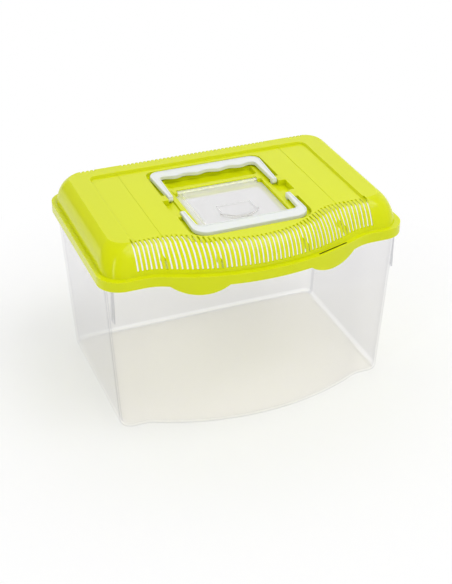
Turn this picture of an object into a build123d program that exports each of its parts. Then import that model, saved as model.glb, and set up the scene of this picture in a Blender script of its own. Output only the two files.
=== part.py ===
from build123d import *
import math
import os

# A bow-fronted carrier for small pets, in millimetres.
# Origin: middle of the footprint, on the surface it stands on. +X to the right, +Y to the rear, +Z up.

# Driving dimensions
LENGTH = 300.0           # over the lid's skirt
DEPTH = 216.5            # over the lid's skirt, bow included
SKIRT_BOTTOM = 158.3
SKIRT_TOP = 168.2
PANEL = 191.0            # the sunken field of the lid's top
CROWN = 193.3            # the raised border round that field
SHEET = 2.0              # wall of the lid
GLAZING = 2.0            # wall of the tank
BOW_RISE = 25.5          # how far the bow stands in front of the straight corners
SLOT_PITCH = 4.18
SLOT_WIDTH = 1.8

REAR = DEPTH / 2
APEX = -DEPTH / 2
SHOULDER_FRONT = APEX + BOW_RISE


class Outline:
    """A plan outline: straight ends and rear, and a front that swells into a bow."""

    def __init__(self, half_length, rear, side_front, apex, bow_half, blend, corner):
        self.half_length = half_length
        self.rear = rear
        self.side_front = side_front
        self.apex = apex
        self.bow_half = bow_half
        self.blend = blend
        self.corner = corner

    def inset(self, wall):
        """The same outline, drawn in by one wall thickness."""
        return Outline(
            self.half_length - wall,
            self.rear - wall,
            self.side_front + wall,
            self.apex + wall,
            self.bow_half,
            self.blend,
            max(self.corner - wall, 1.0),
        )

    def front_at(self, x):
        """The front edge's place at x, on the S-curve of the bow."""
        rise = self.side_front - self.apex
        radius = (self.bow_half**2 + rise**2) / (2 * rise)
        hollow = self.blend * radius
        swell = radius - hollow
        reach = abs(x)
        if reach >= self.bow_half:
            return self.side_front
        if reach <= self.bow_half * (1 - self.blend):
            return self.apex + swell - math.sqrt(swell**2 - reach**2)
        return self.side_front - hollow + math.sqrt(hollow**2 - (self.bow_half - reach) ** 2)


def outline_face(outline):
    """The outline as a flat face."""
    turn = outline.bow_half * (1 - outline.blend)
    turn_y = outline.front_at(turn)
    ends = outline.half_length
    with BuildSketch(Plane.XY) as sketch:
        with BuildLine():
            Line((outline.bow_half, outline.side_front), (ends, outline.side_front))
            Line((ends, outline.side_front), (ends, outline.rear))
            Line((ends, outline.rear), (-ends, outline.rear))
            Line((-ends, outline.rear), (-ends, outline.side_front))
            Line((-ends, outline.side_front), (-outline.bow_half, outline.side_front))
            TangentArc((-outline.bow_half, outline.side_front), (-turn, turn_y), tangent=(1, 0))
            ThreePointArc((-turn, turn_y), (0, outline.apex), (turn, turn_y))
            TangentArc((outline.bow_half, outline.side_front), (turn, turn_y), tangent=(-1, 0))
        make_face()
        corners = [v for v in sketch.vertices() if abs(abs(v.X) - ends) < 0.01]
        fillet(corners, outline.corner)
    return sketch.sketch_local


def blended(bottom, top, share):
    """An outline part of the way from one to the other."""

    def mix(name):
        return getattr(bottom, name) * (1 - share) + getattr(top, name) * share

    names = ("half_length", "rear", "side_front", "apex", "bow_half", "blend", "corner")
    return Outline(*[mix(name) for name in names])


# Plan outlines of the lid
skirt = Outline(LENGTH / 2, REAR, SHOULDER_FRONT, APEX, 112, 0.16, 22)
dome_levels = [
    (SKIRT_TOP, Outline(145.5, 102.5, -77.5, -103.0, 112, 0.18, 20)),
    (180.0, Outline(143.2, 100.8, -72.0, -100.0, 106, 0.24, 19)),
    (188.0, Outline(139.0, 98.0, -66.0, -94.0, 98, 0.30, 18)),
    (CROWN, Outline(133.0, 93.8, -59.0, -84.0, 90, 0.35, 16)),
]

# Plan outlines of the tank
TANK_TOP = SKIRT_TOP - SHEET - 0.1
tank_base = Outline(136.0, 96.0, -73.0, -98.5, 116, 0.10, 12)
tank_brim = Outline(145.4, 102.0, -77.0, -102.5, 111, 0.16, 14)
tank_lip = Outline(146.6, 104.6, -79.6, -105.1, 111, 0.16, 19)
FLOOR = 2.6
FOOT_ROUND = 6.0
INNER_ROUND = 4.4        # round the inside of the foot
LIP_DEEP = 5.0
RIB_TOP = 157.8
RIB_TALL = 35.0
RIB_THICK = 1.4
RIB_LONG = 8.0
RIB_X = 139.2
RIB_Y = -71.3
RING_X = -3.0           # the plain mould ring under the floor
RING_Y = -8.0
RING_RADIUS = 7.0
RING_LINE = 0.8
RING_DEEP = 0.4

os.makedirs("parts", exist_ok=True)

# Tank
tank_base_face = outline_face(tank_base)
tank_brim_face = outline_face(tank_brim)
tank_lip_face = outline_face(tank_lip)
tank_floor_face = outline_face(blended(tank_base, tank_brim, FLOOR / TANK_TOP).inset(GLAZING))
tank_mouth_face = outline_face(tank_brim.inset(GLAZING))
with BuildPart() as tank_room:
    with BuildSketch(Plane.XY.offset(FLOOR)):
        add(tank_floor_face)
    with BuildSketch(Plane.XY.offset(TANK_TOP)):
        add(tank_mouth_face)
    loft(ruled=True)
    fillet(tank_room.edges().group_by(Axis.Z)[0], INNER_ROUND)
with BuildPart() as tank:
    with BuildSketch(Plane.XY):
        add(tank_base_face)
    with BuildSketch(Plane.XY.offset(TANK_TOP)):
        add(tank_brim_face)
    loft(ruled=True)
    fillet(tank.edges().group_by(Axis.Z)[0], FOOT_ROUND)
    # lip round the mouth, which the lid closes on
    with BuildSketch(Plane.XY.offset(TANK_TOP - LIP_DEEP)):
        add(tank_lip_face)
    extrude(amount=LIP_DEEP)
    # stacking ribs on the two front corners
    with Locations((-RIB_X, RIB_Y, RIB_TOP), (RIB_X, RIB_Y, RIB_TOP)):
        Box(RIB_THICK, RIB_LONG, RIB_TALL, align=(Align.CENTER, Align.CENTER, Align.MAX))
    add(tank_room.part, mode=Mode.SUBTRACT)
    # plain mould ring under the floor
    with BuildSketch(Plane.XY):
        with Locations((RING_X, RING_Y)):
            Circle(RING_RADIUS)
            Circle(RING_RADIUS - RING_LINE, mode=Mode.SUBTRACT)
    extrude(amount=RING_DEEP, mode=Mode.SUBTRACT)
tank.part.label = "tank"
export_step(tank.part, "parts/tank.step")

# Places on the lid's top
FIELD_HALF = 113.0       # the sunken field, half its length
FIELD_REAR = 79.0
FIELD_CORNER = 7.0
LINE_X = 86.0            # the fine lines along that field
LINE_FRONT = -56.0
LINE_WIDE = 1.4
LINE_DEEP = 0.35
TRAY_HALF = 60.3         # the recess that the handles lie in
TRAY_FRONT = -69.5
TRAY_REAR = 72.5
TRAY_FLOOR = 187.0
TRAY_FRONT_CORNER = 16.0
TRAY_REAR_CORNER = 9.0
WELL_HALF = 45.4         # the well that the hatch lies in
WELL_FRONT = -48.0
WELL_REAR = 33.0
WELL_FLOOR = 183.0
HATCHWAY_HALF = 41.0     # the opening through the lid
HATCHWAY_FRONT = -41.8
HATCHWAY_REAR = 23.2

# Pivots of the two handles
PIVOT_HEIGHT = 189.0
PIN_RADIUS = 1.4
PIN_PLAY = 0.05
REAR_PIVOT_Y = 14.7
FRONT_PIVOT_Y = -21.4
ARM_INNER = 51.0         # at the pivots
ARM_OUTER = 55.4
ARM_INNER_AT_BAR = 50.0
PIN_TIP = 59.2
POCKET_OUTER = 56.3      # the room that the knuckles turn in
POCKET_INNER = 50.0
POCKET_FLOOR = 185.2
POCKET_REACH = 5.0       # past each pivot
SOCKET_DEEP = 4.2
PIT_OUTER = 63.0         # the hollow between the two pivots, outside the arms
PIT_FRONT = -13.0
PIT_REAR = 9.0

# Hatch hinge
HATCH_HINGE_Y = 29.4
HATCH_HINGE_Z = 185.5
HATCH_PIN = 1.25
BARREL_RADIUS = 2.1
BARREL_HALF = 41.0
HINGE_WEB = 4.2          # from the hinge axis forward to the flange
HINGE_WEB_THICK = 1.6
PIN_SHORT = 0.6          # how far the hinge pins end inside the well's walls
LUG_INNER = 41.5
LUG_FRONT = 26.4
LUG_RISE = 2.2           # above the hinge axis

# Hatch
HATCH_FLANGE_HALF = 44.4
HATCH_FLANGE_FRONT = -47.0
HATCH_FLANGE_REAR = 25.2
HATCH_FLANGE_BOTTOM = WELL_FLOOR + 0.1
HATCH_FLANGE_THICK = 1.4
HATCH_PLATE_TOP = 186.6
HATCH_PLATE_THICK = 1.6
PLATE_FOOT_HALF = 40.0   # where the plate's sloped wall meets the flange
PLATE_FOOT_FRONT = -45.4
PLATE_FOOT_REAR = 27.8
PLATE_SLOPE = 1.8        # how far that wall leans in
PLATE_WALL = 1.5
TONGUE_HALF = 16.6
TONGUE_REAR = -12.0
TONGUE_SHOULDER = -29.5
TONGUE_FRONT = -38.5
TONGUE_GAP = 0.5
TONGUE_BOTTOM = HATCH_PLATE_TOP - HATCH_PLATE_THICK
LIP_TALL = 1.6           # the thumb grip on the tongue
LIP_WIDE = 2.0
LIP_FRONT = -39.6
LIP_HALF = 19.0
LIP_EAR = 1.5
LEG_HALF = 7.0           # the leg that snaps into the hatchway
LEG_THICK = 1.1
LEG_ARM = 10.0
LEG_NECK = 4.0
LEG_FRONT = -41.3
LEG_ARM_BOTTOM = TONGUE_BOTTOM - 1.5
LEG_FOOT = 179.6

# Handles
HANDLE_BOTTOM = 188.6
HANDLE_THICK = 4.0
HANDLE_ROUND = 0.9
REAR_BAR_OUTER = 68.4
REAR_BAR_INNER = 56.2
REAR_BAR_HALF = 58.2
FRONT_BAR_OUTER = -66.0
FRONT_BAR_INNER = -51.4
FRONT_BAR_HALF = 56.6
FINGER_WAVE = 2.4
FINGER_COUNT = 4
KNUCKLE_RADIUS = 3.0
ARM_END = 2.4            # how far the arm runs on past its pivot
CHANNEL_EDGE = 1.5       # the raised edge round the shallow channel on top
CHANNEL_DEEP = 0.5

# Groove for the fingers under the rear handle's bar
FINGER_FLOOR = 183.0
GROOVE_HALF = 46.0
GROOVE_FRONT = 38.5
GROOVE_REAR = 58.5

# Grip tabs of the skirt
TAB_MIDDLE = 65.0
TAB_HALF = 25.5
TAB_DROP = 8.8
TAB_SLOT_LONG = 34.0     # the moulding slot above the right tab
TAB_SLOT_WIDE = 1.4
TAB_SLOT_IN = 3.4        # from the skirt's edge to the slot's middle

# Slots of the front and rear faces
SLOT_FOOT = 171.5
WEB_THICK = 1.6          # the low webs inside, behind the changes of slot group
WEB_TALL = 7.0
WEB_PLACES = (-21, -10, 10, 21)
REAR_SLOT_FRONT = 91.5
REAR_GROUP_X = 111.0
slot_top = Outline(140, 90, -54, -84, 90, 0.35, 5)


def rounded_box(x_half, y_low, y_high, z_low, z_high, corner):
    """A block with upright edges rounded, symmetric about x = 0."""
    with BuildPart() as block:
        with BuildSketch(Plane.XY.offset(z_low)):
            with Locations((0, (y_low + y_high) / 2)):
                RectangleRounded(2 * x_half, y_high - y_low, corner)
        extrude(amount=z_high - z_low)
    return block.part


def tray_block(grow, z_low, z_high):
    """The room the handles lie in, with larger corners in front, grown outward by one wall."""
    with BuildPart() as block:
        with BuildSketch(Plane.XY.offset(z_low)) as plan:
            with Locations((0, (TRAY_FRONT + TRAY_REAR) / 2)):
                Rectangle(2 * (TRAY_HALF + grow), TRAY_REAR - TRAY_FRONT + 2 * grow)
            fillet(plan.vertices().sort_by(Axis.Y)[:2], TRAY_FRONT_CORNER + grow)
            fillet(plan.vertices().sort_by(Axis.Y)[-2:], TRAY_REAR_CORNER + grow)
        extrude(amount=z_high - z_low)
    return block.part


def pocket_block(side, x_low, x_high, y_low, y_high, z_low, z_high):
    """A room beside the handle arms of one side."""
    with BuildPart() as block:
        with Locations((side * (x_low + x_high) / 2, (y_low + y_high) / 2, z_low)):
            Box(x_high - x_low, y_high - y_low, z_high - z_low, align=(Align.CENTER, Align.CENTER, Align.MIN))
    return block.part


def slot_places(count, middle):
    """Where a run of evenly pitched slots stands, about its middle."""
    return [middle + (n - (count - 1) / 2) * SLOT_PITCH for n in range(count)]


dome_faces = [(height, outline_face(outline)) for height, outline in dome_levels]
hollow_faces = [(height, outline_face(outline.inset(SHEET))) for height, outline in dome_levels]
skirt_face = outline_face(skirt)
skirt_inner_face = outline_face(skirt.inset(2.2))
tray = tray_block(0, TRAY_FLOOR, CROWN + 1)
tray_shell = tray_block(SHEET, TRAY_FLOOR - SHEET, PANEL)
well = rounded_box(WELL_HALF, WELL_FRONT, WELL_REAR, WELL_FLOOR, PANEL, 4)
well_shell = rounded_box(
    WELL_HALF + SHEET, WELL_FRONT - SHEET, WELL_REAR + SHEET, WELL_FLOOR - SHEET, PANEL, 6
)
hatchway = rounded_box(HATCHWAY_HALF, HATCHWAY_FRONT, HATCHWAY_REAR, 170, PANEL, 4)
finger_groove = rounded_box(GROOVE_HALF, GROOVE_FRONT, GROOVE_REAR, FINGER_FLOOR, PANEL, 3)
finger_shell = rounded_box(
    GROOVE_HALF + SHEET, GROOVE_FRONT - SHEET, GROOVE_REAR + SHEET, FINGER_FLOOR - SHEET, PANEL, 5
)
pocket_front = FRONT_PIVOT_Y - POCKET_REACH
pocket_rear = REAR_PIVOT_Y + POCKET_REACH
pockets = []
pocket_shells = []
for side in (-1, 1):
    pockets += [
        pocket_block(side, POCKET_INNER, POCKET_OUTER, pocket_front, pocket_rear, POCKET_FLOOR, CROWN),
        pocket_block(side, POCKET_INNER, PIT_OUTER, PIT_FRONT, PIT_REAR, POCKET_FLOOR, CROWN),
    ]
    pocket_shells += [
        pocket_block(
            side,
            WELL_HALF,
            PIT_OUTER + SHEET,
            pocket_front - SHEET,
            pocket_rear + SHEET,
            POCKET_FLOOR - SHEET,
            PANEL,
        )
    ]

with BuildPart() as hollow:
    for height, face in hollow_faces:
        with BuildSketch(Plane.XY.offset(height)):
            add(face)
    loft()
    with BuildSketch(Plane.XY.offset(SKIRT_TOP - SHEET)):
        add(hollow_faces[0][1])
    extrude(amount=SHEET)
    # the underside of the top stays one wall below the sunken field
    with Locations((0, 0, PANEL - SHEET)):
        Box(400, 400, 40, align=(Align.CENTER, Align.CENTER, Align.MIN), mode=Mode.SUBTRACT)
    add([tray_shell, well_shell, finger_shell] + pocket_shells, mode=Mode.SUBTRACT)
    # webs behind the front wall, one at each change of slot group
    for place in WEB_PLACES:
        web_x = place * SLOT_PITCH
        web_rear = slot_top.front_at(web_x) - 3.0
        with Locations((web_x, web_rear, SKIRT_TOP)):
            Box(WEB_THICK, DEPTH, WEB_TALL, align=(Align.CENTER, Align.MAX, Align.MIN), mode=Mode.SUBTRACT)

# Slots of the front face run on over the shoulder; those of the rear face stand in three groups
with BuildPart() as front_slots:
    with Locations([(x, slot_top.front_at(x), SLOT_FOOT) for x in slot_places(56, 0)]):
        Box(SLOT_WIDTH, 60, 40, align=(Align.CENTER, Align.MAX, Align.MIN))
rear_places = slot_places(4, -REAR_GROUP_X) + slot_places(37, 0) + slot_places(4, REAR_GROUP_X)
with BuildPart() as rear_slots:
    with Locations([(x, REAR_SLOT_FRONT, SLOT_FOOT) for x in rear_places]):
        Box(SLOT_WIDTH, 30, 40, align=(Align.CENTER, Align.MIN, Align.MIN))

with BuildPart() as lid:
    for height, face in dome_faces:
        with BuildSketch(Plane.XY.offset(height)):
            add(face)
    loft()
    # flange and skirt
    with BuildSketch(Plane.XY.offset(SKIRT_BOTTOM)):
        add(skirt_face)
    extrude(amount=SKIRT_TOP - SKIRT_BOTTOM)
    # grip tabs that hang below the skirt in front
    with BuildSketch(Plane.XY.offset(SKIRT_BOTTOM - TAB_DROP)):
        add(skirt_face)
        add(skirt_inner_face, mode=Mode.SUBTRACT)
    extrude(amount=TAB_DROP)
    with BuildSketch(Plane.XZ) as tab_room:
        with Locations((0, SKIRT_BOTTOM)):
            Rectangle(2 * LENGTH, 2 * TAB_DROP)
        for tab_x in (-TAB_MIDDLE, TAB_MIDDLE):
            with BuildLine():
                Line((tab_x - TAB_HALF, SKIRT_BOTTOM + TAB_DROP), (tab_x - TAB_HALF, SKIRT_BOTTOM))
                ThreePointArc(
                    (tab_x - TAB_HALF, SKIRT_BOTTOM),
                    (tab_x, SKIRT_BOTTOM - TAB_DROP),
                    (tab_x + TAB_HALF, SKIRT_BOTTOM),
                )
                Line((tab_x + TAB_HALF, SKIRT_BOTTOM), (tab_x + TAB_HALF, SKIRT_BOTTOM + TAB_DROP))
                Line((tab_x + TAB_HALF, SKIRT_BOTTOM + TAB_DROP), (tab_x - TAB_HALF, SKIRT_BOTTOM + TAB_DROP))
            make_face(mode=Mode.SUBTRACT)
        with Locations((0, SKIRT_BOTTOM + TAB_DROP)):
            Rectangle(2 * LENGTH, 2 * TAB_DROP, mode=Mode.SUBTRACT)
    extrude(amount=DEPTH, mode=Mode.SUBTRACT)
    with Locations((0, DEPTH / 4, SKIRT_BOTTOM)):
        Box(2 * LENGTH, DEPTH, TAB_DROP, align=(Align.CENTER, Align.CENTER, Align.MAX), mode=Mode.SUBTRACT)
    with BuildSketch(Plane.XY.offset(SKIRT_BOTTOM)):
        add(skirt_inner_face)
    extrude(amount=SKIRT_TOP - SHEET - SKIRT_BOTTOM, mode=Mode.SUBTRACT)
    add(hollow.part, mode=Mode.SUBTRACT)
    # the sunken field, open towards the front
    with BuildSketch(Plane.XY.offset(PANEL)) as field:
        with Locations((0, FIELD_REAR)):
            Rectangle(2 * FIELD_HALF, 2 * DEPTH, align=(Align.CENTER, Align.MAX))
        fillet(field.vertices().sort_by(Axis.Y)[-2:], FIELD_CORNER)
    extrude(amount=CROWN - PANEL + 1, taper=-30, mode=Mode.SUBTRACT)
    add([tray, well, hatchway, finger_groove] + pockets, mode=Mode.SUBTRACT)
    add([front_slots.part, rear_slots.part], mode=Mode.SUBTRACT)
    # cheeks beside the handle arms, with sockets for the pins
    for side in (-1, 1):
        for pivot_y, cheek_low, cheek_high in (
            (FRONT_PIVOT_Y, pocket_front, PIT_FRONT),
            (REAR_PIVOT_Y, PIT_REAR, pocket_rear),
        ):
            with Locations((side * (POCKET_OUTER + TRAY_HALF) / 2, (cheek_low + cheek_high) / 2, TRAY_FLOOR)):
                Box(
                    TRAY_HALF - POCKET_OUTER,
                    cheek_high - cheek_low,
                    PANEL - TRAY_FLOOR,
                    align=(Align.CENTER, Align.CENTER, Align.MIN),
                )
            with BuildSketch(Plane.YZ.offset(side * (POCKET_OUTER - 1))):
                with Locations((pivot_y, PIVOT_HEIGHT)):
                    Circle(PIN_RADIUS + PIN_PLAY)
            extrude(amount=side * SOCKET_DEEP, mode=Mode.SUBTRACT)
    # lugs that hold the hatch's hinge pins
    for side in (-1, 1):
        with Locations((side * (LUG_INNER + WELL_HALF) / 2, (LUG_FRONT + WELL_REAR) / 2, WELL_FLOOR)):
            Box(
                WELL_HALF - LUG_INNER,
                WELL_REAR - LUG_FRONT,
                HATCH_HINGE_Z + LUG_RISE - WELL_FLOOR,
                align=(Align.CENTER, Align.CENTER, Align.MIN),
            )
        with BuildSketch(Plane.YZ.offset(side * (LUG_INNER - 1))):
            with Locations((HATCH_HINGE_Y, HATCH_HINGE_Z)):
                Circle(HATCH_PIN + PIN_PLAY)
        extrude(amount=side * (WELL_HALF - LUG_INNER + 0.7), mode=Mode.SUBTRACT)
    # fine lines along the sunken field
    for side in (-1, 1):
        with Locations((side * LINE_X, (FIELD_REAR + LINE_FRONT) / 2, PANEL)):
            Box(LINE_WIDE, FIELD_REAR - LINE_FRONT, 2 * LINE_DEEP, mode=Mode.SUBTRACT)
    # moulding slot through the flange above the right grip tab
    slot_edge = skirt.front_at(TAB_MIDDLE)
    slot_rise = skirt.front_at(TAB_MIDDLE + 10) - skirt.front_at(TAB_MIDDLE - 10)
    slot_turn = math.degrees(math.atan2(slot_rise, 20))
    with Locations(Location((TAB_MIDDLE, slot_edge + TAB_SLOT_IN, SKIRT_TOP), (0, 0, slot_turn))):
        Box(TAB_SLOT_LONG, TAB_SLOT_WIDE, 3 * SHEET, mode=Mode.SUBTRACT)
lid.part.label = "lid"
export_step(lid.part, "parts/lid.step")

# Hatch: a clear cap with a flange, a hinge barrel at the rear and a cut-out for the thumb catch
def hatch_frustum(draw_in, z_low, z_high, corner):
    """The room inside the sloped wall of the hatch's plate, drawn in by a wall or none."""
    with BuildPart() as block:
        for height in (z_low, z_high):
            lean = PLATE_SLOPE * (height - HATCH_FLANGE_BOTTOM) / (HATCH_PLATE_TOP - HATCH_FLANGE_BOTTOM)
            front = PLATE_FOOT_FRONT + draw_in + lean
            rear = PLATE_FOOT_REAR - draw_in - lean
            with BuildSketch(Plane.XY.offset(height)):
                with Locations((0, (front + rear) / 2)):
                    RectangleRounded(2 * (PLATE_FOOT_HALF - draw_in - lean), rear - front, corner)
        loft()
    return block.part


def tongue_face(half, shoulder, front, rear):
    """The plan of the thumb tongue, square at its root and curved in front."""
    with BuildSketch(Plane.XY) as sketch:
        with BuildLine():
            Polyline((-half, shoulder), (-half, rear), (half, rear), (half, shoulder))
            ThreePointArc((half, shoulder), (0, front), (-half, shoulder))
        make_face()
    return sketch.sketch_local


plate_outside = hatch_frustum(0, HATCH_FLANGE_BOTTOM, HATCH_PLATE_TOP, 4)
plate_inside = hatch_frustum(PLATE_WALL, HATCH_FLANGE_BOTTOM, TONGUE_BOTTOM, 3)
tongue_plan = tongue_face(TONGUE_HALF, TONGUE_SHOULDER, TONGUE_FRONT, TONGUE_REAR)
tongue_cut_out = tongue_face(
    TONGUE_HALF + TONGUE_GAP, TONGUE_SHOULDER, TONGUE_FRONT - TONGUE_GAP, TONGUE_REAR + TONGUE_GAP
)
lip_outer_plan = tongue_face(LIP_HALF, TONGUE_SHOULDER, LIP_FRONT, TONGUE_SHOULDER + LIP_EAR)
lip_cut_out = tongue_face(
    LIP_HALF + TONGUE_GAP, TONGUE_SHOULDER, LIP_FRONT - TONGUE_GAP, TONGUE_SHOULDER + LIP_EAR + TONGUE_GAP
)
lip_inner_plan = tongue_face(
    LIP_HALF - LIP_WIDE, TONGUE_SHOULDER + LIP_WIDE / 2, LIP_FRONT + LIP_WIDE, TONGUE_SHOULDER + 9
)
with BuildPart() as hatch:
    with BuildSketch(Plane.XY.offset(HATCH_FLANGE_BOTTOM)):
        with Locations((0, (HATCH_FLANGE_FRONT + HATCH_FLANGE_REAR) / 2)):
            RectangleRounded(2 * HATCH_FLANGE_HALF, HATCH_FLANGE_REAR - HATCH_FLANGE_FRONT, 3)
    extrude(amount=HATCH_FLANGE_THICK)
    add(plate_outside)
    add(plate_inside, mode=Mode.SUBTRACT)
    with BuildSketch(Plane.YZ.offset(-BARREL_HALF)):
        with Locations((HATCH_HINGE_Y, HATCH_HINGE_Z)):
            Circle(BARREL_RADIUS)
        with Locations((HATCH_HINGE_Y, HATCH_HINGE_Z - BARREL_RADIUS)):
            Rectangle(HINGE_WEB, HINGE_WEB_THICK, align=(Align.MAX, Align.MIN))
    extrude(amount=2 * BARREL_HALF)
    with BuildSketch(Plane.YZ.offset(-WELL_HALF + PIN_SHORT)):
        with Locations((HATCH_HINGE_Y, HATCH_HINGE_Z)):
            Circle(HATCH_PIN)
    extrude(amount=2 * (WELL_HALF - PIN_SHORT))
    with BuildSketch(Plane.XY.offset(HATCH_FLANGE_BOTTOM)):
        add([tongue_cut_out, lip_cut_out])
    extrude(amount=HATCH_PLATE_TOP - HATCH_FLANGE_BOTTOM, mode=Mode.SUBTRACT)
hatch.part.label = "hatch"
export_step(hatch.part, "parts/hatch.step")

# Thumb catch: the springy tongue of the hatch, with a curved grip and a leg that snaps into the hatchway
with BuildPart() as hatch_catch:
    with BuildSketch(Plane.XY.offset(TONGUE_BOTTOM)):
        add(tongue_plan)
    extrude(amount=HATCH_PLATE_THICK)
    with BuildSketch(Plane.XY.offset(TONGUE_BOTTOM)):
        add(lip_outer_plan)
        add(lip_inner_plan, mode=Mode.SUBTRACT)
    extrude(amount=HATCH_PLATE_THICK + LIP_TALL)
    # neck below the tongue, arm under the plate, and leg down into the hatchway
    with Locations((0, LEG_FRONT + LEG_ARM - LEG_NECK, LEG_ARM_BOTTOM)):
        Box(2 * LEG_HALF, LEG_NECK, TONGUE_BOTTOM - LEG_ARM_BOTTOM, align=(Align.CENTER, Align.MIN, Align.MIN))
    with Locations((0, LEG_FRONT, LEG_ARM_BOTTOM)):
        Box(2 * LEG_HALF, LEG_ARM, LEG_THICK, align=(Align.CENTER, Align.MIN, Align.MIN))
    with Locations((0, LEG_FRONT, LEG_FOOT)):
        Box(2 * LEG_HALF, LEG_THICK, LEG_ARM_BOTTOM - LEG_FOOT, align=(Align.CENTER, Align.MIN, Align.MIN))
hatch_catch.part.label = "hatch_catch"
export_step(hatch_catch.part, "parts/hatch_catch.step")


def handle_face(pivot_y, bar_inner, bar_outer, bar_half, corner, inner_corner, wave, edge):
    """The plan of a handle: a U whose arms taper towards their pivots, drawn in by an edge or none."""
    way = 1 if bar_outer > pivot_y else -1
    arm_end = pivot_y - way * (ARM_END - edge)
    outer_end = ARM_OUTER - edge
    inner_end = ARM_INNER + edge
    inner_bar = ARM_INNER_AT_BAR + edge
    near = bar_inner - way * inner_corner
    far = bar_inner + way * edge
    turn = ARM_INNER_AT_BAR - inner_corner
    with BuildSketch(Plane.XY) as plan:
        with BuildLine():
            Polyline(
                (outer_end, arm_end),
                (bar_half - edge, bar_outer - way * edge),
                (-bar_half + edge, bar_outer - way * edge),
                (-outer_end, arm_end),
                close=True,
            )
        make_face()
        outer_corners = [v for v in plan.vertices() if abs(v.Y - bar_outer + way * edge) < 0.01]
        fillet(outer_corners, corner - edge)
        with BuildLine():
            Polyline((-inner_bar, near), (-inner_end, arm_end - way), (inner_end, arm_end - way), (inner_bar, near))
            TangentArc((inner_bar, near), (turn, far), tangent=(0, way))
            if wave:
                steps = 4 * FINGER_COUNT
                crest = [
                    (turn - 2 * turn * n / steps, far - wave * (1 - math.cos(math.pi * n / 2)) / 2)
                    for n in range(steps + 1)
                ]
                Spline(*crest, tangents=((-1, 0), (-1, 0)))
            else:
                Line((turn, far), (-turn, far))
            TangentArc((-inner_bar, near), (-turn, far), tangent=(0, way))
        make_face(mode=Mode.SUBTRACT)
    return plan.sketch_local


def handle(pivot_y, bar_inner, bar_outer, bar_half, corner, inner_corner, wave):
    """A U-shaped half of the carrying handle, lying flat, with knuckles and pins at its open end."""
    outline = handle_face(pivot_y, bar_inner, bar_outer, bar_half, corner, inner_corner, wave, 0)
    channel = handle_face(
        pivot_y, bar_inner, bar_outer, bar_half, corner, inner_corner, wave, CHANNEL_EDGE
    )
    with BuildPart() as grip:
        with BuildSketch(Plane.XY.offset(HANDLE_BOTTOM)):
            add(outline)
        extrude(amount=HANDLE_THICK)
        fillet(grip.edges().group_by(Axis.Z)[-1], HANDLE_ROUND)
        fillet(grip.edges().group_by(Axis.Z)[0], HANDLE_ROUND / 2)
        with BuildSketch(Plane.XY.offset(HANDLE_BOTTOM + HANDLE_THICK - CHANNEL_DEEP)):
            add(channel)
        extrude(amount=CHANNEL_DEEP, mode=Mode.SUBTRACT)
        for side in (-1, 1):
            with BuildSketch(Plane.YZ.offset(side * ARM_INNER)):
                with Locations((pivot_y, PIVOT_HEIGHT)):
                    Circle(KNUCKLE_RADIUS)
            extrude(amount=side * (ARM_OUTER - ARM_INNER))
            with BuildSketch(Plane.YZ.offset(side * (ARM_OUTER - 1))):
                with Locations((pivot_y, PIVOT_HEIGHT)):
                    Circle(PIN_RADIUS)
            extrude(amount=side * (PIN_TIP - ARM_OUTER + 1))
    return grip.part


rear_handle = handle(REAR_PIVOT_Y, REAR_BAR_INNER, REAR_BAR_OUTER, REAR_BAR_HALF, 10, 5, FINGER_WAVE)
rear_handle.label = "rear_handle"
export_step(rear_handle, "parts/rear_handle.step")
front_handle = handle(FRONT_PIVOT_Y, FRONT_BAR_INNER, FRONT_BAR_OUTER, FRONT_BAR_HALF, 14, 6, 0)
front_handle.label = "front_handle"
export_step(front_handle, "parts/front_handle.step")
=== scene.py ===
import bpy
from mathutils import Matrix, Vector

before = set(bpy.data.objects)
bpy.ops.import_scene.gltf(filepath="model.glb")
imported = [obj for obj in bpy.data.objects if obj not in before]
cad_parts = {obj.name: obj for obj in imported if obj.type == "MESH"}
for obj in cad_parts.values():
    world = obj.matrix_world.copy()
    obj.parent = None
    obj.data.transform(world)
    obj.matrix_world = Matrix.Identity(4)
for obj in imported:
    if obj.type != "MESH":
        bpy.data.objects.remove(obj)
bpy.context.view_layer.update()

# Middle and half size of the box round a stacking rib, metres
RIB_MIDDLE = (0.1392, 0.0713, 0.1403)
RIB_REACH = (0.0009, 0.0043, 0.0178)

# Middle, turn and half size of the box round the lid's moulding slot, metres and radians
SLOT_MIDDLE = (0.0650, -0.0949, 0.1682)
SLOT_TURN = 0.3041
SLOT_REACH = (0.0172, 0.00078, 0.0030)
# painted shade: the dark colour put on the slot's walls in place of the shadow in the gap
SLOT_PAINTED_SHADE = (0.05, 0.06, 0.01)

# Scales of the surface noise, per metre
CLOUD_SCALE = 9.0
WAVE_SCALE = 45.0
GRAIN_SCALE = 900.0
GRAIN_SHARE = 0.35

# Where a face counts as level, as the length of its normal's upright part
LEVEL_FROM = 0.85
LEVEL_TO = 0.97
LEVEL_ROUGHNESS = 0.5
LEVEL_COAT = 0.15        # share of the gloss that a level face keeps

CLEAR_RELIEF = 0.00002   # depth of the clear plastic's surface waves, metres
CLEAR_CLOUD = 0.99       # how much of its light a cloudy place lets through
COAT_INDEX = 1.35
BEAD_PAINTED_GLOW = 0.045        # painted highlight: glow given to the rounded inner edges, which are no lamp
GLANCE_BLEND = 0.35

# Bands of a face's direction, each as the places where it starts, is full, is full still and ends
CORNER_SHADE_BAND = (0.12, 0.20, 0.28, 0.38)   # forward, at the front upright corners, where shade is painted
FOOT_SHADE_BAND = (0.10, 0.40, 0.85, 0.97)     # down, at the rounded foot, where shade is painted
PAINTED_HIGHLIGHT_BAND = (0.15, 0.35, 0.85, 0.97)     # up, at the rounded inner edges, where a highlight is painted

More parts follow.
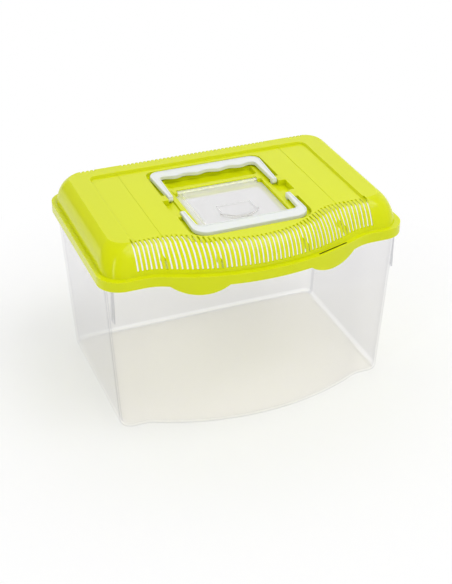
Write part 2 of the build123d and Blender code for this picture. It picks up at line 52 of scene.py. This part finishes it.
# The floor is lit near the object and glows white further out, metres from the middle
FLOOR_RADIUS = 6.0
FLOOR_DROP = 0.0002
FLOOR_SHADE = 0.95
SHADOW_KEPT = 0.16
SHADOW_GONE = 0.42
NEAR_GLOW = 0.37

# Strength of the room's light from in front and from behind, and of the flag in reflections
ROOM_FRONT = 0.52
ROOM_BACK = 1.0
FLAG_GLOW = 0.25

# The photo's camera, millimetres and metres
LENS = 75.16
SENSOR = 36.0
CAMERA_PLACE = (-0.3852, -0.9593, 0.7127)
CAMERA_TARGET = (0.00616, 0.02117, 0.06905)


def tidy_selection():
    """Leaves edit mode, with nothing selected."""
    if bpy.context.object and bpy.context.object.mode != "OBJECT":
        bpy.ops.object.mode_set(mode="OBJECT")
    bpy.ops.object.select_all(action="DESELECT")


def feed(tree, socket, value):
    """Links an output to a socket, or sets the socket to a plain value."""
    if isinstance(value, bpy.types.NodeSocket):
        tree.links.new(value, socket)
    else:
        socket.default_value = value


def add_noise(tree, scale, detail, place):
    """Noise of one scale over the object's own coordinates."""
    noise = tree.nodes.new("ShaderNodeTexNoise")
    noise.inputs["Scale"].default_value = scale
    noise.inputs["Detail"].default_value = detail
    tree.links.new(place, noise.inputs["Vector"])
    return noise.outputs["Fac"]


def add_range(tree, source, start, end, low, high, smooth=False):
    """Maps start to end on to low to high."""
    node = tree.nodes.new("ShaderNodeMapRange")
    if smooth:
        node.interpolation_type = "SMOOTHSTEP"
    tree.links.new(source, node.inputs["Value"])
    node.inputs["From Min"].default_value = start
    node.inputs["From Max"].default_value = end
    feed(tree, node.inputs["To Min"], low)
    feed(tree, node.inputs["To Max"], high)
    return node.outputs["Result"]


def add_math(tree, operation, first, second=None):
    """One step of arithmetic on masks."""
    node = tree.nodes.new("ShaderNodeMath")
    node.operation = operation
    feed(tree, node.inputs[0], first)
    if second is not None:
        feed(tree, node.inputs[1], second)
    return node.outputs["Value"]


def add_vector_math(tree, operation, source, result="Vector"):
    """One step of arithmetic on a place."""
    node = tree.nodes.new("ShaderNodeVectorMath")
    node.operation = operation
    tree.links.new(source, node.inputs[0])
    return node.outputs[result]


def add_blend(tree, share, first, second):
    """A value between two values."""
    node = tree.nodes.new("ShaderNodeMix")
    tree.links.new(share, node.inputs["Factor"])
    feed(tree, node.inputs["A"], first)
    feed(tree, node.inputs["B"], second)
    return node.outputs["Result"]


def add_tint(tree, share, first, second):
    """A colour between a colour and another, opaque."""
    node = tree.nodes.new("ShaderNodeMix")
    node.data_type = "RGBA"
    tree.links.new(share, node.inputs["Factor"])
    tree.links.new(first, node.inputs["A"])
    feed(tree, node.inputs["B"], second)
    return node.outputs["Result"]


def add_axes(tree, source):
    """The three parts of a vector."""
    node = tree.nodes.new("ShaderNodeSeparateXYZ")
    tree.links.new(source, node.inputs["Vector"])
    return node.outputs


def add_band(tree, source, places):
    """A mask that is 1 between the middle two places and 0 outside the outer two."""
    ramp = tree.nodes.new("ShaderNodeValToRGB")
    stops = ramp.color_ramp.elements
    stops[0].position = places[0]
    stops[0].color = (0, 0, 0, 1)
    stops[1].position = places[3]
    stops[1].color = (0, 0, 0, 1)
    for position in places[1:3]:
        stops.new(position).color = (1, 1, 1, 1)
    tree.links.new(source, ramp.inputs["Fac"])
    return ramp.outputs["Color"]


def add_box_mask(tree, place, middle, turn, reach):
    """1 inside a box of the given middle, turn about Z and half size, and 0 outside."""
    box = tree.nodes.new("ShaderNodeMapping")
    box.vector_type = "TEXTURE"
    box.inputs["Location"].default_value = middle
    box.inputs["Rotation"].default_value = (0, 0, turn)
    box.inputs["Scale"].default_value = reach
    tree.links.new(place, box.inputs["Vector"])
    sides = add_axes(tree, add_vector_math(tree, "ABSOLUTE", box.outputs["Vector"]))
    beyond = add_math(tree, "MAXIMUM", sides["X"], add_math(tree, "MAXIMUM", sides["Y"], sides["Z"]))
    return add_math(tree, "LESS_THAN", beyond, 1.0)


def moulded_surface():
    """Moulded plastic: a soft cloudiness of the pigment, flow waviness and a fine grain."""
    group = bpy.data.node_groups.new("moulded_surface", "ShaderNodeTree")
    for label, kind, way in (
        ("Colour", "NodeSocketColor", "INPUT"),
        ("Cloud Tint", "NodeSocketColor", "INPUT"),
        ("Gloss Low", "NodeSocketFloat", "INPUT"),
        ("Gloss High", "NodeSocketFloat", "INPUT"),
        ("Colour", "NodeSocketColor", "OUTPUT"),
        ("Roughness", "NodeSocketFloat", "OUTPUT"),
        ("Height", "NodeSocketFloat", "OUTPUT"),
    ):
        group.interface.new_socket(name=label, in_out=way, socket_type=kind)
    inside = group.nodes.new("NodeGroupInput").outputs
    outside = group.nodes.new("NodeGroupOutput").inputs
    place = group.nodes.new("ShaderNodeTexCoord").outputs["Object"]
    clouds = add_noise(group, CLOUD_SCALE, 3.0, place)
    grain = add_noise(group, GRAIN_SCALE, 2.0, place)
    waves = add_noise(group, WAVE_SCALE, 1.0, place)
    colour = add_tint(group, clouds, inside["Colour"], inside["Cloud Tint"])
    group.links.new(colour, outside["Colour"])
    gloss = add_range(group, waves, 0.0, 1.0, inside["Gloss Low"], inside["Gloss High"])
    group.links.new(gloss, outside["Roughness"])
    height = add_math(group, "ADD", add_math(group, "MULTIPLY", grain, GRAIN_SHARE), waves)
    group.links.new(height, outside["Height"])
    return group


MOULDED = moulded_surface()


def surfaced_material(name, colour, tint, gloss, relief_depth):
    """A new material with the moulded surface, and its parts to build on."""
    material = bpy.data.materials.new(name)
    material.use_nodes = True
    tree = material.node_tree
    shader = tree.nodes["Principled BSDF"]
    surface = tree.nodes.new("ShaderNodeGroup")
    surface.node_tree = MOULDED
    surface.inputs["Colour"].default_value = (*colour, 1)
    surface.inputs["Cloud Tint"].default_value = (*tint, 1)
    surface.inputs["Gloss Low"].default_value = gloss[0]
    surface.inputs["Gloss High"].default_value = gloss[1]
    relief = tree.nodes.new("ShaderNodeBump")
    relief.inputs["Strength"].default_value = 1.0
    relief.inputs["Distance"].default_value = relief_depth
    tree.links.new(surface.outputs["Height"], relief.inputs["Height"])
    tree.links.new(relief.outputs["Normal"], shader.inputs["Normal"])
    return material, tree, shader, surface.outputs


def moulded_plastic(name, colour, tint, gloss, relief_depth, subsurface, specular):
    """An opaque moulded plastic that lets a little light into its walls."""
    material, tree, shader, surface = surfaced_material(name, colour, tint, gloss, relief_depth)
    tree.links.new(surface["Colour"], shader.inputs["Base Color"])
    tree.links.new(surface["Roughness"], shader.inputs["Roughness"])
    shader.inputs["Specular IOR Level"].default_value = specular
    shader.inputs["Subsurface Weight"].default_value = subsurface
    shader.inputs["Subsurface Radius"].default_value = (1.0, 1.0, 0.2)
    shader.inputs["Subsurface Scale"].default_value = 0.003
    return material


def paint_slot_shade(material):
    """Paints shade on the walls of the lid's moulding slot, standing in for the shadow in its gap,
    so the slot reads as a dark line.
    """
    tree = material.node_tree
    base = tree.nodes["Principled BSDF"].inputs["Base Color"]
    place = tree.nodes.new("ShaderNodeTexCoord").outputs["Object"]
    slot = add_box_mask(tree, place, SLOT_MIDDLE, SLOT_TURN, SLOT_REACH)
    colour = add_tint(tree, slot, base.links[0].from_socket, (*SLOT_PAINTED_SHADE, 1))
    tree.links.new(colour, base)


def rib_mask(tree, place):
    """1 inside a box round each of the tank's two stacking ribs."""
    mirrored = add_vector_math(tree, "ABSOLUTE", place)
    ribs = add_box_mask(tree, mirrored, RIB_MIDDLE, 0, RIB_REACH)
    front = add_math(tree, "LESS_THAN", add_axes(tree, place)["Y"], 0.0)
    return add_math(tree, "MULTIPLY", ribs, front)


def clear_plastic(name, wall, glance, painted_edge_shade, level_colour, gloss, shade, clearness):
    """A clear moulded plastic, darker at a glancing angle, with painted shade along its front
    corners, foot and ribs standing in for the lines that bent light draws there, and a painted
    highlight on its rounded inner edges.

    wall, glance, the painted edge shade and level_colour: the share of light that a face lets
    through.
    shade: how much of a lamp's light it keeps off what lies behind it.
    """
    tint = [share * CLEAR_CLOUD for share in wall]
    material, tree, shader, surface = surfaced_material(name, wall, tint, gloss, CLEAR_RELIEF)
    coordinates = tree.nodes.new("ShaderNodeTexCoord").outputs
    facing = add_axes(tree, coordinates["Normal"])
    upright = add_math(tree, "ABSOLUTE", facing["Z"])
    level = add_range(tree, upright, LEVEL_FROM, LEVEL_TO, 0.0, 1.0)
    roughness = add_blend(tree, level, surface["Roughness"], LEVEL_ROUGHNESS)
    tree.links.new(roughness, shader.inputs["Roughness"])
    shader.inputs["Coat Roughness"].default_value = sum(gloss) / 2
    coat = add_range(tree, level, 0.0, 1.0, 1.0, LEVEL_COAT)
    tree.links.new(coat, shader.inputs["Coat Weight"])
    corner = add_band(tree, add_math(tree, "MULTIPLY", facing["Y"], -1.0), CORNER_SHADE_BAND)
    foot = add_band(tree, add_math(tree, "MULTIPLY", facing["Z"], -1.0), FOOT_SHADE_BAND)
    # the painted shade on the foot falls only where a ray comes in from outside, so the far foot
    # reads as a pale line
    behind = tree.nodes.new("ShaderNodeNewGeometry").outputs["Backfacing"]
    foot = add_math(tree, "MULTIPLY", foot, add_math(tree, "SUBTRACT", 1.0, behind))
    # painted highlight: the rounded inner edges glow, standing in for the light they catch
    painted_highlight = add_band(tree, facing["Z"], PAINTED_HIGHLIGHT_BAND)
    tree.links.new(painted_highlight, shader.inputs["Emission Color"])
    shader.inputs["Emission Strength"].default_value = BEAD_PAINTED_GLOW
    # painted shade along the foot, the front stacking ribs and the front corners
    edge_shade_mask = add_math(tree, "MAXIMUM", foot, rib_mask(tree, coordinates["Object"]))
    edge_shade_mask = add_math(tree, "MAXIMUM", edge_shade_mask, corner)
    angle = tree.nodes.new("ShaderNodeLayerWeight")
    angle.inputs["Blend"].default_value = GLANCE_BLEND
    # painted highlight: the rounded inner edges are made white
    colour = add_tint(tree, painted_highlight, surface["Colour"], (1, 1, 1, 1))
    colour = add_tint(tree, level, colour, (*level_colour, 1))
    colour = add_tint(tree, angle.outputs["Facing"], colour, (*glance, 1))
    colour = add_tint(tree, edge_shade_mask, colour, (*painted_edge_shade, 1))
    tree.links.new(colour, shader.inputs["Base Color"])
    shader.inputs["Transmission Weight"].default_value = clearness
    shader.inputs["IOR"].default_value = 1.0
    shader.inputs["Coat IOR"].default_value = COAT_INDEX
    rays = tree.nodes.new("ShaderNodeLightPath").outputs
    cover = add_range(tree, rays["Is Shadow Ray"], 0.0, 1.0, 1.0, shade)
    tree.links.new(cover, shader.inputs["Alpha"])
    return material


LIME = moulded_plastic(
    "lime_plastic",
    colour=(0.68, 0.735, 0.002),
    tint=(0.70, 0.75, 0.005),
    gloss=(0.16, 0.22),
    relief_depth=0.00002,
    subsurface=0.45,
    specular=0.25,
)
# painted shade in the lid's moulding slot
paint_slot_shade(LIME)
WHITE = moulded_plastic(
    "white_plastic",
    colour=(0.81, 0.835, 0.81),
    tint=(0.79, 0.82, 0.79),
    gloss=(0.28, 0.36),
    relief_depth=0.00003,
    subsurface=0.1,
    specular=0.4,
)
CLEAR_TANK = clear_plastic(
    "clear_tank_plastic",
    wall=(0.985, 0.98, 0.98),
    glance=(0.78, 0.775, 0.79),
    # painted shade along the corners, foot and ribs
    painted_edge_shade=(0.66, 0.66, 0.69),
    level_colour=(0.955, 0.94, 0.895),
    gloss=(0.03, 0.06),
    shade=0.22,
    clearness=1.0,
)
CLEAR_HATCH = clear_plastic(
    "clear_hatch_plastic",
    wall=(0.84, 0.835, 0.83),
    glance=(0.68, 0.68, 0.69),
    # painted shade along the corners, foot and ribs
    painted_edge_shade=(0.66, 0.66, 0.69),
    level_colour=(0.80, 0.795, 0.79),
    gloss=(0.12, 0.18),
    shade=0.15,
    clearness=0.65,
)

FINISHES = {
    "tank": CLEAR_TANK,
    "lid": LIME,
    "hatch": CLEAR_HATCH,
    "hatch_catch": CLEAR_HATCH,
    "rear_handle": WHITE,
    "front_handle": WHITE,
}
for node, finish in FINISHES.items():
    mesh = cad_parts[node].data
    mesh.materials.clear()
    mesh.materials.append(finish)


def pale_floor():
    """A white floor that keeps the object's soft shadow."""
    tidy_selection()
    bpy.ops.mesh.primitive_circle_add(
        vertices=64, radius=FLOOR_RADIUS, fill_type="NGON", location=(0, 0, -FLOOR_DROP)
    )
    floor = bpy.context.object
    floor.name = "floor"
    material = bpy.data.materials.new("floor_white")
    material.use_nodes = True
    tree = material.node_tree
    shader = tree.nodes["Principled BSDF"]
    shader.inputs["Base Color"].default_value = (FLOOR_SHADE, FLOOR_SHADE, FLOOR_SHADE, 1)
    shader.inputs["Roughness"].default_value = 0.9
    shader.inputs["Specular IOR Level"].default_value = 0.0
    glow = tree.nodes.new("ShaderNodeEmission")
    glow.inputs["Color"].default_value = (1, 1, 1, 1)
    glow.inputs["Strength"].default_value = 1.0
    rays = tree.nodes.new("ShaderNodeLightPath").outputs
    seen = add_math(tree, "MAXIMUM", rays["Is Camera Ray"], rays["Is Glossy Ray"])
    seen = add_math(tree, "MAXIMUM", seen, rays["Is Transmission Ray"])
    place = tree.nodes.new("ShaderNodeTexCoord").outputs["Object"]
    reach = add_vector_math(tree, "LENGTH", place, result="Value")
    afar = add_range(tree, reach, SHADOW_KEPT, SHADOW_GONE, NEAR_GLOW, 1.0, smooth=True)
    mix = tree.nodes.new("ShaderNodeMixShader")
    tree.links.new(add_math(tree, "MULTIPLY", seen, afar), mix.inputs["Fac"])
    tree.links.new(shader.outputs["BSDF"], mix.inputs[1])
    tree.links.new(glow.outputs["Emission"], mix.inputs[2])
    tree.links.new(mix.outputs["Shader"], tree.nodes["Material Output"].inputs["Surface"])
    floor.data.materials.append(material)


def studio_world():
    """A pale room, brighter behind the object, with a dark flag at the left in reflections."""
    world = bpy.data.worlds.new("studio")
    bpy.context.scene.world = world
    world.use_nodes = True
    tree = world.node_tree
    room = tree.nodes["Background"]
    room.inputs["Color"].default_value = (1, 1, 1, 1)
    way = add_axes(tree, tree.nodes.new("ShaderNodeTexCoord").outputs["Generated"])
    depth = add_range(tree, way["Y"], -0.2, 0.9, 0.0, 1.0, smooth=True)
    glow = add_range(tree, depth, 0.0, 1.0, ROOM_FRONT, ROOM_BACK)
    flag = add_range(tree, way["X"], -0.5, 0.0, FLAG_GLOW, 1.0, smooth=True)
    rays = tree.nodes.new("ShaderNodeLightPath").outputs
    dimmer = add_blend(tree, rays["Is Glossy Ray"], 1.0, flag)
    lit = add_math(tree, "MULTIPLY", glow, dimmer)
    seen = add_math(tree, "MAXIMUM", rays["Is Camera Ray"], rays["Is Transmission Ray"])
    tree.links.new(add_blend(tree, seen, lit, 1.0), room.inputs["Strength"])


def aim(stand, place, target):
    """Puts an object at a place and turns its -Z axis to the target."""
    stand.location = place
    stand.rotation_euler = (Vector(target) - Vector(place)).to_track_quat("-Z", "Y").to_euler()


def soft_light(name, place, target, size, power):
    """A softbox aimed at a target."""
    light = bpy.data.lights.new(name, "AREA")
    light.shape = "RECTANGLE"
    light.size, light.size_y = size
    light.energy = power
    lamp = bpy.data.objects.new(name, light)
    bpy.context.collection.objects.link(lamp)
    aim(lamp, place, target)


def photo_camera():
    """The photo's view: from the left front and above."""
    camera = bpy.data.cameras.new("camera")
    camera.sensor_width = SENSOR
    camera.lens = LENS
    camera.clip_start = 0.01
    camera.clip_end = 50.0
    stand = bpy.data.objects.new("camera", camera)
    bpy.context.collection.objects.link(stand)
    aim(stand, CAMERA_PLACE, CAMERA_TARGET)
    bpy.context.scene.camera = stand


pale_floor()
studio_world()
soft_light("key_softbox", (0.5, -0.6, 1.6), (0, 0, 0.1), (1.1, 1.1), 11.7)
soft_light("corner_softbox", (-1.17, -0.85, 0.8), (-0.1, -0.06, 0.17), (0.065, 1.15), 3.2)
photo_camera()

bpy.context.scene.view_settings.view_transform = "Standard"
